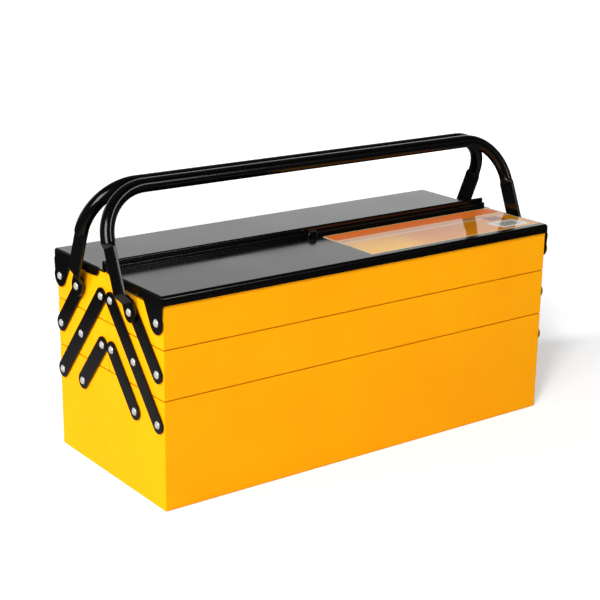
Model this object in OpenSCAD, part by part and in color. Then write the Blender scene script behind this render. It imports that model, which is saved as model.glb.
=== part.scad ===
// Cantilever tool box: a base box, two middle trays and two top trays that swing
// outward and upward on riveted straps, with a lid and a carrying handle on each top tray.
// X runs along the box, Y from front to rear, Z up. The origin lies on the floor, under the middle.
// Each half is drawn at +Y; the front half is its mirror image.

/* [Box] */
// Length over the end walls
box_l = 530; // [340:5:700]
// Width over the front and rear walls
box_w = 224; // [170:2:300]
// Height from the floor to the underside of the middle trays
base_h = 120; // [90:1:180]
// Height of one tray level, which is also the rise of the straps
tray_pitch = 54; // [44:1:80]
// Thickness of the box and tray sheet
sheet = 0.8; // [0.6:0.1:1.6]
// Outer radius of the fold between a floor and its side walls
fold_r = 2; // [1.8:0.1:4]
// Height of the folded rim inside each open edge
hem_h = 7; // [3:0.5:12]
// Gap between one level's rim and the floor of the level above
seam_gap = 0.4; // [0.2:0.1:1]
// Gap between the front and rear halves at the centre
centre_gap = 0.6; // [0.4:0.1:2]
// How far the top tray's outer rims stay below the full tray pitch
top_rim_drop = 1; // [0.5:0.1:4]

/* [Straps] */
// Width of a strap
strap_w = 19; // [12:0.5:24]
// Thickness of a strap
strap_t = 2; // [1:0.1:3]
// Gap between a strap's side and the wall or strap beside it
strap_side_gap = 0.5; // [0.3:0.1:3]
// Gap between a strap and the end wall behind it
strap_gap = 0.3; // [0.2:0.1:1]
// Depth of the pins below the level above
pin_drop = 27; // [16:0.5:34]

/* [Rivets] */
// Diameter of a rivet's shank
shank_d = 3.8; // [3:0.1:7]
// Radial clearance of a shank in its holes
pin_clear = 0.05; // [0.02:0.01:0.1]
// Diameter of the domed head
head_d = 8.5; // [8:0.1:12]
// Height of the domed head
head_h = 2.2; // [1.2:0.1:3.5]
// Gap under the domed head
head_gap = 0.1; // [0:0.05:0.3]
// Diameter of the formed head inside the wall
tail_d = 8; // [7.8:0.1:11]
// Height of the formed head inside the wall
tail_h = 1.5; // [0.8:0.1:2.5]

/* [Lids] */
// Thickness of the lid sheet
lid_sheet = 1; // [0.8:0.1:1.4]
// Gap between the tray walls and the lid's skirt and flanges
lid_side_gap = 1; // [0.4:0.1:1.5]
// Depth of the skirt and end flanges, from the lid's top
skirt_h = 10; // [6:0.5:14]
// Clearance of the lid's panel over the tray's outer rim as the lid swings
lid_swing_gap = 0.9; // [0.4:0.1:3]
// Gap between the lid and the tray's inner wall, which carries it
lid_rest_gap = 0.3; // [0.2:0.1:1]
// Distance from the centre to the inner end of the end flange
flange_start = 14; // [6:0.5:30]
// Radius of the end flange's inner corner
flange_r = 7; // [2:0.5:9]
// Distance from the hinge pin to the root of the ear, along the flange
ear_root = 24.5; // [14:0.5:32]
// Height of the rear lid's ridge over the lid
ridge_h = 10; // [4:0.5:14]
// Width of the rear lid's ridge
ridge_w = 4.2; // [4:0.1:8]
// Height of the front lid's bead over the lid
bead_h = 5; // [2:0.5:9]
// Width of the front lid's bead
bead_w = 3.2; // [3:0.1:8]

/* [Handles] */
// Diameter of the handle tube
tube_d = 15; // [10:0.5:20]
// Wall of the handle tube
tube_wall = 1.5; // [1:0.1:3]
// Distance from the handle's pivot to the middle of its bar
handle_reach = 126; // [105:1:170]
// Radius of the bends, at the tube's middle
bend_r = 54; // [25:1:58]
// Gap between the two bars when the handles stand together
bar_gap = 2; // [0.5:0.1:8]
// Width of the flattened leg
leg_w = 22; // [12:0.5:24]
// Thickness of the flattened leg
leg_t = 3.8; // [2:0.1:6]
// Outward offset of the leg from its eye
joggle = 7.5; // [4:0.1:10]
// Distance from the pivot to the start of the joggle
joggle_start = 9; // [7:0.5:12]
// Length of the joggle along the leg
joggle_l = 11; // [5:0.5:16]
// Outward offset of the tube's middle from the leg's middle
tube_offset = 0.3; // [0:0.1:5]
// Length of the change from round tube to flat leg
crush_l = 4; // [3:0.5:12]
// Gap between the handle's eye and the strap behind it
eye_gap = 0.3; // [0.2:0.1:1]

/* [Fittings] */
// Wire diameter of the lock staple
wire_d = 3; // [2:0.1:5]
// Width of the staple over its legs
staple_w = 14; // [13:0.5:24]
// Height of the staple over the lid
staple_h = 9; // [8.5:0.5:16]
// How far the staple's feet reach through the lid
foot_h = 1; // [0.4:0.1:1.5]
// Distance from the bead to the staple
staple_gap = 5; // [2:0.5:20]
// Offset of the staple from the middle, towards the right end
staple_x = -5; // [-60:1:60]
// Length of the label
label_l = 256; // [60:1:260]
// Thickness of the label
label_t = 0.3; // [0.1:0.1:0.6]
// Distance from the label to the lid's right edge
label_margin = 5; // [2:0.5:30]
// Distance from the label to the lid's outer edge
label_inset = 10; // [2:0.5:30]
// Distance from the label to the front lid's bead
label_gap = 9.5; // [9:0.5:30]

/* [Hidden] */

LEFT = -1;
RIGHT = 1;
BOTH = [LEFT, RIGHT];

// Colours, as the photograph shows them
YELLOW = "#FBB708";
BLACK = "#161616";
SILVER = "#D9D8D4";
ORANGE = "#E9944A";

FINE = 64;
HULL_FN = 32;
CUT = 1;

// Pins of one half, as [distance from the centre, height]
half_w = box_w / 2;
pin_inset = strap_w / 2 + strap_side_gap;
pin_step = half_w / 2 - pin_inset;
inner_pin = pin_inset;
middle_pin = pin_inset + pin_step;
outer_pin = pin_inset + 2 * pin_step;
base_pin_z = base_h - pin_drop;
mid_pin_z = base_pin_z + tray_pitch;
top_pin_z = mid_pin_z + tray_pitch;
BASE_PINS = [[middle_pin, base_pin_z], [outer_pin, base_pin_z]];
MID_PINS = [[inner_pin, mid_pin_z], [middle_pin, mid_pin_z], [outer_pin, mid_pin_z]];
TOP_PIN = [inner_pin, top_pin_z];
HANDLE_PIN = [middle_pin, top_pin_z];
LID_PIN = [outer_pin, top_pin_z];

// Levels
mid_z = base_h;
top_z = mid_z + tray_pitch;
top_rim_z = top_z + tray_pitch - top_rim_drop;
inner_y = centre_gap / 2;

// The lid's panel clears the tray's outer rim, which swings under it about the hinge pin
rim_swing_r = norm([half_w - outer_pin, top_rim_z - top_pin_z]);
lid_under_z = top_pin_z + rim_swing_r + lid_swing_gap;
lid_top_z = lid_under_z + lid_sheet;
lid_edge = half_w + lid_side_gap + lid_sheet;
lid_end = box_l / 2 + lid_side_gap + lid_sheet;
flange_z = lid_top_z - skirt_h;
ear_r = lid_edge - outer_pin;
inner_wall_z = lid_under_z - lid_rest_gap;

// Layers outside an end wall
end_x = box_l / 2;
strap_x = end_x + strap_gap;
strap_out_x = strap_x + strap_t;
ear_x = end_x + lid_side_gap;
ear_out_x = ear_x + lid_sheet;
eye_x = strap_out_x + eye_gap;
eye_out_x = eye_x + leg_t;
leg_x = eye_x + joggle;
tube_x = leg_x + leg_t / 2 + tube_offset;

// Handle
bar_y = tube_d / 2 + bar_gap / 2;
lean = asin((middle_pin - bar_y) / handle_reach);
bend_start = handle_reach - bend_r;
leg_end = bend_start - crush_l;
eye_r = leg_w / 2;

hole_r = shank_d / 2 + pin_clear;
wire_r = wire_d / 2;
staple_leg = staple_w / 2 - wire_r;
staple_y = -(inner_y + bead_w + staple_gap + wire_r);

// ---- helpers ----

// Draws the rear half as it is, or the front half as its mirror image
module front() mirror([0, 1, 0]) children();

// Turns an outline in (distance from the centre, height) into a plate at an end, x_in from the middle
module end_plate(end, x_in, t)
    translate([end > 0 ? x_in : -x_in - t, 0, 0])
        rotate([90, 0, 90])
            linear_extrude(t) children();

// A profile in (distance from the centre, height), drawn out along the box
module along_box(l)
    translate([-l / 2, 0, 0])
        rotate([90, 0, 90])
            linear_extrude(l) children();

// A bore along the box at one pin, through both ends
module bore(pin, r = hole_r)
    translate([-end_x - CUT, pin.x, pin.y])
        rotate([0, 90, 0])
            cylinder(h = box_l + 2 * CUT, r = r, $fn = FINE);

// The section of a box: square at the top, folded round at the bottom
module section(y0, y1, z0, z1, r) {
    translate([y0, z0 + r]) square([y1 - y0, z1 - z0 - r]);
    translate([y0 + r, z0]) square([y1 - y0 - 2 * r, r + CUT / 2]);
    for (y = [y0 + r, y1 - r])
        translate([y, z0 + r]) circle(r = r, $fn = FINE);
}

// An open sheet box with folded rims. The wall at y0 may end higher than the others
module sheet_box(y0, y1, z0, z1, z1_inner) {
    rim = 2 * sheet;
    // wrapper: floor and side walls
    along_box(box_l) difference() {
        union() {
            section(y0, y1, z0, z1, fold_r);
            translate([y0, z1 - hem_h]) square([sheet, z1_inner - z1 + hem_h]);
        }
        section(y0 + sheet, y1 - sheet, z0 + sheet, z1_inner + CUT, fold_r - sheet);
    }
    // end panels
    for (end = BOTH)
        end_plate(end, end_x - sheet, sheet)
            section(y0, y1, z0, z1, fold_r);
    // folded rims along the side walls and the end walls
    for (edge = [[y0, z1_inner], [y1 - rim, z1]])
        translate([-end_x, edge.x, edge.y - hem_h]) cube([box_l, rim, hem_h]);
    for (end = BOTH)
        translate([end > 0 ? end_x - rim : -end_x, y0, z1 - hem_h])
            cube([rim, y1 - y0, hem_h]);
}

// ---- base ----

module base_box()
    color(YELLOW) difference() {
        sheet_box(-half_w, half_w, 0, base_h - seam_gap, base_h - seam_gap);
        for (pin = BASE_PINS) {
            bore(pin);
            front() bore(pin);
        }
    }

// ---- trays ----

module mid_tray()
    color(YELLOW) difference() {
        sheet_box(inner_y, half_w, mid_z, top_z - seam_gap, top_z - seam_gap);
        for (pin = MID_PINS) bore(pin);
    }

module top_tray()
    color(YELLOW) difference() {
        sheet_box(inner_y, half_w, top_z, top_rim_z, inner_wall_z);
        for (pin = [TOP_PIN, HANDLE_PIN, LID_PIN]) bore(pin);
    }

// ---- straps ----

// A flat bar with round ends from one pin to another
module bar_outline(a, b) {
    span = b - a;
    translate(a) rotate(atan2(span.y, span.x)) {
        translate([0, -strap_w / 2]) square([norm(span), strap_w]);
        circle(d = strap_w, $fn = FINE);
        translate([norm(span), 0]) circle(d = strap_w, $fn = FINE);
    }
}

module strap(end, pins)
    color(BLACK) end_plate(end, strap_x, strap_t) difference() {
        bar_outline(pins[0], pins[len(pins) - 1]);
        for (pin = pins) translate(pin) circle(r = hole_r, $fn = FINE);
    }

module long_link(end) strap(end, [BASE_PINS[1], MID_PINS[1], TOP_PIN]);
module lower_link(end) strap(end, [BASE_PINS[0], MID_PINS[0]]);
module upper_link(end) strap(end, [MID_PINS[2], HANDLE_PIN]);

// ---- rivets ----

// A rivet through the end wall and what lies on it, whose outer face is at x_out
module rivet(end, pin, x_out) {
    x_in = end_x - sheet;
    x_head = x_out + head_gap;
    dome_r = (head_d * head_d / 4 + head_h * head_h) / (2 * head_h);
    mirror([end > 0 ? 0 : 1, 0, 0])
        translate([0, pin.x, pin.y]) rotate([0, 90, 0]) {
            translate([0, 0, x_in - tail_h]) cylinder(h = tail_h, d = tail_d, $fn = FINE);
            translate([0, 0, x_in - tail_h / 2])
                cylinder(h = x_head - x_in + tail_h / 2 + head_h / 2, d = shank_d, $fn = FINE);
            intersection() {
                translate([0, 0, x_head]) cylinder(h = head_h, d = head_d, $fn = FINE);
                translate([0, 0, x_head + head_h - dome_r]) sphere(r = dome_r, $fn = FINE);
            }
        }
}

module rivets(pins, x_out)
    color(SILVER) for (end = BOTH, pin = pins) rivet(end, pin, x_out);

module base_rivets() {
    rivets(BASE_PINS, strap_out_x);
    front() rivets(BASE_PINS, strap_out_x);
}

module mid_rivets() rivets(MID_PINS, strap_out_x);
module top_rivets() rivets([TOP_PIN], strap_out_x);
module lid_rivets() rivets([LID_PIN], ear_out_x);
module handle_rivets() rivets([HANDLE_PIN], eye_out_x);

// ---- lids ----

// End flange of a lid, with the ear that carries its hinge pin
module flange_outline() {
    root = [outer_pin - ear_root, flange_z];
    to_pin = LID_PIN - root;
    // the ear's inner edge leaves the root and touches the circle round the pin
    edge_angle = atan2(to_pin.y, to_pin.x) - asin(ear_r / norm(to_pin));
    edge_l = sqrt(to_pin * to_pin - ear_r * ear_r);
    tangent = root + edge_l * [cos(edge_angle), sin(edge_angle)];
    difference() {
        union() {
            translate([flange_start, flange_z + flange_r])
                square([lid_edge - flange_start, skirt_h - flange_r]);
            translate([flange_start + flange_r, flange_z])
                square([lid_edge - flange_start - flange_r, skirt_h]);
            intersection() {
                translate([flange_start + flange_r, flange_z + flange_r])
                    circle(r = flange_r, $fn = FINE);
                translate([flange_start, flange_z]) square(flange_r);
            }
            polygon([root, tangent, LID_PIN, [lid_edge, LID_PIN.y], [lid_edge, flange_z]]);
            translate(LID_PIN) circle(r = ear_r, $fn = FINE);
        }
        translate(LID_PIN) circle(r = hole_r, $fn = FINE);
    }
}

// Sheet folded up, over and down along a lid's inner edge
module folded_edge(w, h)
    translate([inner_y, lid_under_z]) difference() {
        square([w, h + lid_sheet]);
        translate([lid_sheet, -CUT]) square([w - 2 * lid_sheet, h + CUT]);
    }

module lid(edge_w, edge_h)
    color(BLACK) {
        along_box(2 * lid_end) {
            translate([inner_y + edge_w - lid_sheet, lid_under_z])
                square([lid_edge - inner_y - edge_w + lid_sheet, lid_sheet]);
            translate([lid_edge - lid_sheet, flange_z]) square([lid_sheet, skirt_h]);
            folded_edge(edge_w, edge_h);
        }
        for (end = BOTH) end_plate(end, ear_x, lid_sheet) flange_outline();
    }

module rear_lid() lid(ridge_w, ridge_h);

module front_lid()
    difference() {
        front() lid(bead_w, bead_h);
        staple_legs(wire_r + pin_clear, CUT);
    }

// ---- lock staple and label, on the front lid ----

// The staple's two legs, from some distance below the lid's panel to the start of the bow
module staple_legs(r, below)
    color(BLACK) for (side = BOTH)
        translate([staple_x + side * staple_leg, staple_y, lid_under_z - below])
            cylinder(h = below + lid_sheet + staple_h - staple_leg - wire_r, r = r, $fn = FINE);

module lock_staple() {
    staple_legs(wire_r, foot_h);
    color(BLACK)
        translate([staple_x, staple_y, lid_top_z + staple_h - staple_leg - wire_r])
            rotate([90, 0, 0])
                rotate_extrude(angle = 180, $fn = FINE)
                    translate([staple_leg, 0]) circle(r = wire_r, $fn = FINE);
}

module lid_label()
    color(ORANGE)
        translate([lid_end - label_margin - label_l, -lid_edge + label_inset, lid_top_z])
            cube([label_l, lid_edge - label_inset - label_gap - inner_y - bead_w, label_t]);

// ---- handles ----

// Bar and bends of the handle, in the handle's own plane, as one solid of the given radius
module bow(r) {
    straight = tube_x - bend_r;
    translate([-straight, 0, handle_reach])
        rotate([0, 90, 0])
            cylinder(h = 2 * straight, r = r, $fn = FINE);
    for (end = BOTH)
        mirror([end > 0 ? 0 : 1, 0, 0])
            translate([straight, 0, bend_start])
                rotate([90, 0, 0])
                    rotate_extrude(angle = 90, $fn = FINE)
                        translate([bend_r, 0]) circle(r = r, $fn = FINE);
}

// Flattened leg on the right: eye, joggle and flat, in the handle's own plane
module leg() {
    joggle_end = joggle_start + joggle_l;
    intersection() {
        rotate([90, 0, 0]) translate([0, 0, -leg_w])
            linear_extrude(2 * leg_w)
                polygon([
                    [eye_x, -2 * eye_r], [eye_out_x, -2 * eye_r],
                    [eye_out_x, joggle_start], [eye_out_x + joggle, joggle_end],
                    [eye_out_x + joggle, leg_end], [leg_x, leg_end],
                    [leg_x, joggle_end], [eye_x, joggle_start]
                ]);
        end_plate(RIGHT, eye_x, leg_t + joggle) {
            translate([-leg_w / 2, 0]) square([leg_w, leg_end]);
            circle(r = eye_r, $fn = FINE);
        }
    }
    // crushed length between the flat leg and the round tube, whose wall it ends inside
    skin = 0.2;
    hull() {
        translate([leg_x, -leg_w / 2, leg_end - skin]) cube([leg_t, leg_w, skin]);
        translate([tube_x, 0, bend_start]) cylinder(h = skin, d = tube_d - skin, $fn = HULL_FN);
    }
}

module handle()
    color(BLACK)
        translate([0, middle_pin, top_pin_z]) rotate([lean, 0, 0]) difference() {
            union() {
                difference() {
                    bow(tube_d / 2);
                    bow(tube_d / 2 - tube_wall);
                }
                for (end = BOTH) mirror([end > 0 ? 0 : 1, 0, 0]) leg();
            }
            translate([-eye_out_x - CUT, 0, 0]) rotate([0, 90, 0])
                cylinder(h = 2 * (eye_out_x + CUT), r = hole_r, $fn = FINE);
        }

// ---- nodes ----

base_box();
base_rivets();
front() long_link(LEFT);  // front_long_link_left
front() long_link(RIGHT);  // front_long_link_right
long_link(LEFT);  // rear_long_link_left
long_link(RIGHT);  // rear_long_link_right
front() lower_link(LEFT);  // front_lower_link_left
front() lower_link(RIGHT);  // front_lower_link_right
lower_link(LEFT);  // rear_lower_link_left
lower_link(RIGHT);  // rear_lower_link_right
front() upper_link(LEFT);  // front_upper_link_left
front() upper_link(RIGHT);  // front_upper_link_right
upper_link(LEFT);  // rear_upper_link_left
upper_link(RIGHT);  // rear_upper_link_right
front() mid_tray();  // front_mid_tray
front() mid_rivets();  // front_mid_rivets
mid_tray();  // rear_mid_tray
mid_rivets();  // rear_mid_rivets
front() top_tray();  // front_top_tray
front() top_rivets();  // front_top_rivets
top_tray();  // rear_top_tray
top_rivets();  // rear_top_rivets
front_lid();
front() lid_rivets();  // front_lid_rivets
rear_lid();
lid_rivets();  // rear_lid_rivets
front() handle();  // front_handle
front() handle_rivets();  // front_handle_rivets
handle();  // rear_handle
handle_rivets();  // rear_handle_rivets
lock_staple();
lid_label();
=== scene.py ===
"""Looks of a cantilever tool box: yellow sheet trays, black straps, lids and handles, steel rivets."""

import logging
from abc import ABC, abstractmethod
from collections.abc import Sequence
from dataclasses import dataclass, field
from enum import Enum
from functools import reduce
from math import asin, atan2, copysign, cos, degrees, pi, radians, sin
from typing import ClassVar

import bmesh
import bpy
from bpy.types import ID, GeometryNodeTree, Material, Modifier, Node, NodeSocket, NodeTree, Object
from bpy.types import ShaderNodeTree
from mathutils import Matrix, Vector
from mathutils.geometry import tessellate_polygon


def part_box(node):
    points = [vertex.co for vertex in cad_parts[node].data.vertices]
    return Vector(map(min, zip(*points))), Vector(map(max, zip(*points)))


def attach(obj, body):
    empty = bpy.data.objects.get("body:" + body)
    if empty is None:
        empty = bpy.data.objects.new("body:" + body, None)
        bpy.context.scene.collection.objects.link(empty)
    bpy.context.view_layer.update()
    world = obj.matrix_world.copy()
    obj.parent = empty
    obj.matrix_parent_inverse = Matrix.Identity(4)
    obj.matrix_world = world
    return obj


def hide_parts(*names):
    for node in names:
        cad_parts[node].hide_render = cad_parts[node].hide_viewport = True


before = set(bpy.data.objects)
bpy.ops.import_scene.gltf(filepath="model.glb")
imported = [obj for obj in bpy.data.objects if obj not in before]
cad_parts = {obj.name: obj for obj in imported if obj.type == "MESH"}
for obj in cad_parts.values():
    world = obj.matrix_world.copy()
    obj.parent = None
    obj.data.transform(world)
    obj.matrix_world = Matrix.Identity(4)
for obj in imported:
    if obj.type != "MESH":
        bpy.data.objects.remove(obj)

MM = 0.001
MERGE_M = 1e-7
QUARTER = pi / 2
WHOLE = 2 * pi
WHITE = (1.0, 1.0, 1.0, 1.0)
LOG = logging.getLogger("tool_box")

# sizes that several pieces share, in millimetres
TRAY_SHEET = 0.8
LID_SHEET = 1.0
RIM_DROP = 1.0
PIN_HOLE = 3.9
EYE_GAP = 0.3
LEG_T = 3.8

Flat = tuple[float, float]
Outline = Sequence[Flat]
Spot = tuple[float, float, float]
Colour = tuple[float, float, float, float]


class Half(Enum):
    """The two halves of the box, with the sign of their Y."""

    FRONT = -1
    REAR = 1

    @property
    def word(self) -> str:
        """The half's word in the names of nodes and bodies."""
        return self.name.lower()


class End(Enum):
    """The two ends of the box, with the sign of their X."""

    LEFT = -1
    RIGHT = 1


class Slot(Enum):
    """The record's material slots."""

    YELLOW = "yellow_paint"
    BLACK = "black_paint"
    STEEL = "rivet_steel"
    FILM = "label_film"


# ---- sizes ----


def node_box(node: str) -> tuple[Vector, Vector]:
    """Low and high corners of a CAD node's box, in millimetres."""
    low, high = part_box(node)
    return Vector(low) / MM, Vector(high) / MM


@dataclass(frozen=True)
class Layout:
    """Places that several pieces share, in millimetres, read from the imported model.

    The pins' Y is that of the rear half, from the centre outwards. Their Z goes from the base up.
    """

    end_x: float
    inner_y: float
    mid_rim: float
    top_rim: float
    inner_wall: float
    strap_x: float
    strap_out_x: float
    strap_w: float
    pins_y: Spot
    pins_z: Spot
    lid_edge: float
    lid_end: float
    lid_under: float
    lid_top: float

    @classmethod
    def from_frame(cls) -> "Layout":
        """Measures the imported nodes.

        Returns:
            The layout of the closed box.
        """
        base, mid, top = (node_box(node) for node in ("base_box", "rear_mid_tray", "rear_top_tray"))
        strap, lid, label = (node_box(node) for node in ("rear_long_link_right", "rear_lid", "lid_label"))
        pitch = top[0].z - mid[0].z
        # a slanting strap's box is its pins' box grown by half its width all round
        half_strap = (strap[1].z - strap[0].z - 2 * pitch) / 2
        low_z = strap[0].z + half_strap
        return cls(
            end_x=base[1].x,
            inner_y=mid[0].y,
            mid_rim=mid[1].z,
            top_rim=top[0].z + pitch - RIM_DROP,
            inner_wall=top[1].z,
            strap_x=strap[0].x,
            strap_out_x=strap[1].x,
            strap_w=2 * half_strap,
            pins_y=(strap[0].y + half_strap, (strap[0].y + strap[1].y) / 2, strap[1].y - half_strap),
            pins_z=(low_z, low_z + pitch, low_z + 2 * pitch),
            lid_edge=lid[1].y,
            lid_end=lid[1].x,
            lid_under=label[0].z - LID_SHEET,
            lid_top=label[0].z,
        )


# ---- mesh making ----


def put(name: str, data: ID) -> Object:
    """Puts a new mesh, lamp or camera into the scene as an object."""
    made = bpy.data.objects.new(name, data)
    bpy.context.scene.collection.objects.link(made)
    return made


def modify(piece: Object, name: str, kind: str, **settings: object) -> Modifier:
    """Adds a modifier of some type, with its own properties as settings."""
    made = piece.modifiers.new(name, kind)
    for key, value in settings.items():
        setattr(made, key, value)
    return made


def bake(piece: Object) -> None:
    """Turns a piece with modifiers into its plain mesh.

    Args:
        piece: The object, whose modifiers are applied and removed.
    """
    if not piece.modifiers:
        return
    bpy.context.view_layer.update()
    graph = bpy.context.evaluated_depsgraph_get()
    shown = piece.evaluated_get(graph)
    made = bpy.data.meshes.new_from_object(shown, preserve_all_data_layers=True, depsgraph=graph)
    piece.modifiers.clear()
    old = piece.data
    name = old.name
    piece.data = made
    bpy.data.meshes.remove(old)
    made.name = name


def shade(piece: Object, crease: float) -> Object:
    """Shades a piece smooth, with its flat faces kept flat, and applies its modifiers.

    Args:
        piece: The object.
        crease: Angle in degrees from which an edge is shaded sharp.

    Returns:
        The same object, with a plain mesh.
    """
    bake(piece)
    piece.data.shade_smooth()
    piece.data.set_sharp_from_angle(angle=radians(crease))
    modify(piece, "weighted", "WEIGHTED_NORMAL", mode="FACE_AREA", weight=80, keep_sharp=True)
    bake(piece)
    return piece


class MeshWork:
    """Vertices and faces of one piece while it is made. Points are in millimetres."""

    def __init__(self) -> None:
        """Starts an empty piece."""
        self.points: list[Vector] = []
        self.faces: list[list[int]] = []

    def ring(self, points: Sequence[Sequence[float]]) -> list[int]:
        """Adds a loop of points.

        Args:
            points: The loop's points, in millimetres.

        Returns:
            Their numbers.
        """
        start = len(self.points)
        self.points += [Vector(p) for p in points]
        return list(range(start, len(self.points)))

    def bridge(self, first: list[int], second: list[int]) -> None:
        """Joins two closed loops of as many points with a band of quads."""
        count = len(first)
        for i in range(count):
            j = (i + 1) % count
            self.faces.append([first[i], first[j], second[j], second[i]])

    def skin(self, rings: Sequence[list[int]]) -> None:
        """Joins loops in a row into a skin, with a face on the first and the last."""
        for first, second in zip(rings, rings[1:]):
            self.bridge(first, second)
        self.faces += [list(rings[0]), list(rings[-1])]

    def panel(self, loops: Sequence[list[int]]) -> None:
        """Fills a flat outline that may have holes.

        Args:
            loops: The outline's loop, then the loops of its holes.
        """
        order = [i for loop in loops for i in loop]
        corners_of = tessellate_polygon([[self.points[i] for i in loop] for loop in loops])
        self.faces += [[order[k] for k in triangle] for triangle in corners_of]

    def place(self, move: Matrix) -> None:
        """Moves every point by a matrix in millimetres."""
        self.points = [move @ p for p in self.points]

    def piece(self, name: str, material: Material, crease: float) -> Object:
        """Turns the work into an object with closed, outward skins.

        Args:
            name: The object's name.
            material: Its finish.
            crease: Angle in degrees from which an edge is shaded sharp.

        Returns:
            The new object.
        """
        mesh = bpy.data.meshes.new(name)
        mesh.from_pydata([p * MM for p in self.points], [], self.faces)
        work = bmesh.new()
        work.from_mesh(mesh)
        bmesh.ops.remove_doubles(work, verts=work.verts, dist=MERGE_M)
        bmesh.ops.dissolve_degenerate(work, edges=work.edges, dist=MERGE_M)
        bmesh.ops.recalc_face_normals(work, faces=work.faces)
        work.to_mesh(mesh)
        work.free()
        mesh.materials.append(material)
        return shade(put(name, mesh), crease)


def turns(whole: float, steps: int) -> list[float]:
    """Even steps from nothing to a whole value, both among them."""
    return [whole * k / steps for k in range(steps + 1)]


def arc(centre: Flat, radius: float, start: float, end: float, steps: int) -> list[Flat]:
    """Points on an arc.

    Args:
        centre: The arc's centre.
        radius: Its radius.
        start: Angle of its first point, in degrees.
        end: Angle of its last point, in degrees.
        steps: Number of steps between them.

    Returns:
        The points, both ends among them.
    """
    turn = [radians(start + (end - start) * k / steps) for k in range(steps + 1)]
    return [(centre[0] + radius * cos(t), centre[1] + radius * sin(t)) for t in turn]


def circle(centre: Flat, radius: float, count: int) -> list[Flat]:
    """A number of points all round a circle."""
    return arc(centre, radius, 0, 360 - 360 / count, count - 1)


def rounded(low: Flat, high: Flat, radius: float, steps: int) -> list[Flat]:
    """An anticlockwise rectangle with round corners, from the corner with both places high.

    Args:
        low: Its low corner.
        high: Its high corner.
        radius: Radius of its corners.
        steps: Number of steps in each corner.

    Returns:
        Its points.
    """
    x0, y0, x1, y1 = low[0] + radius, low[1] + radius, high[0] - radius, high[1] - radius
    places = (((x1, y1), 0), ((x0, y1), 90), ((x0, y0), 180), ((x1, y0), 270))
    return [point for place, start in places for point in arc(place, radius, start, start + 90, steps)]


def inset(outline: Outline, distance: float) -> list[Flat]:
    """Moves an anticlockwise outline inwards.

    Args:
        outline: The outline's points.
        distance: How far each side moves.

    Returns:
        As many points.
    """
    moved = []
    for before, here, after in zip([outline[-1], *outline[:-1]], outline, [*outline[1:], outline[0]]):
        a = Vector((here[0] - before[0], here[1] - before[1])).normalized()
        b = Vector((after[0] - here[0], after[1] - here[1])).normalized()
        normal = Vector((-a.y - b.y, a.x + b.x)) / (1 + a.dot(b))
        moved.append((here[0] + normal.x * distance, here[1] + normal.y * distance))
    return moved


def plate(work: MeshWork, outline: Outline, holes: Sequence[Outline], faces: Flat, edge: float) -> None:
    """Adds a plate across the box's length, with rounded edges and plain holes.

    Args:
        work: The mesh under construction.
        outline: Anticlockwise outline in Y and Z.
        holes: Outlines of the holes.
        faces: X of its inner and its outer face.
        edge: Radius of its rounded edges.
    """
    x0, x1 = faces
    rings = []
    sign = copysign(1, x1 - x0)
    for x, into, turn in ((x1, -1, (90, 45, 0)), (x0, 1, (0, 45, 90))):
        for angle in turn:
            depth = edge * (1 - sin(radians(angle)))
            step = edge * (1 - cos(radians(angle)))
            rings.append(work.ring([(x + into * sign * depth, y, z) for y, z in inset(outline, step)]))
    for first, second in zip(rings, rings[1:]):
        work.bridge(first, second)
    outer, inner = ([work.ring([(x, y, z) for y, z in hole]) for hole in holes] for x in (x1, x0))
    for a, b in zip(outer, inner):
        work.bridge(a, b)
    work.panel([rings[0], *outer])
    work.panel([rings[-1], *inner])


# ---- node trees ----


@dataclass(frozen=True)
class Ramp:
    """A change of a value from one range to another, kept inside it."""

    low: float
    high: float
    start: float = 0.0
    end: float = 1.0
    smooth: bool = True


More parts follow.
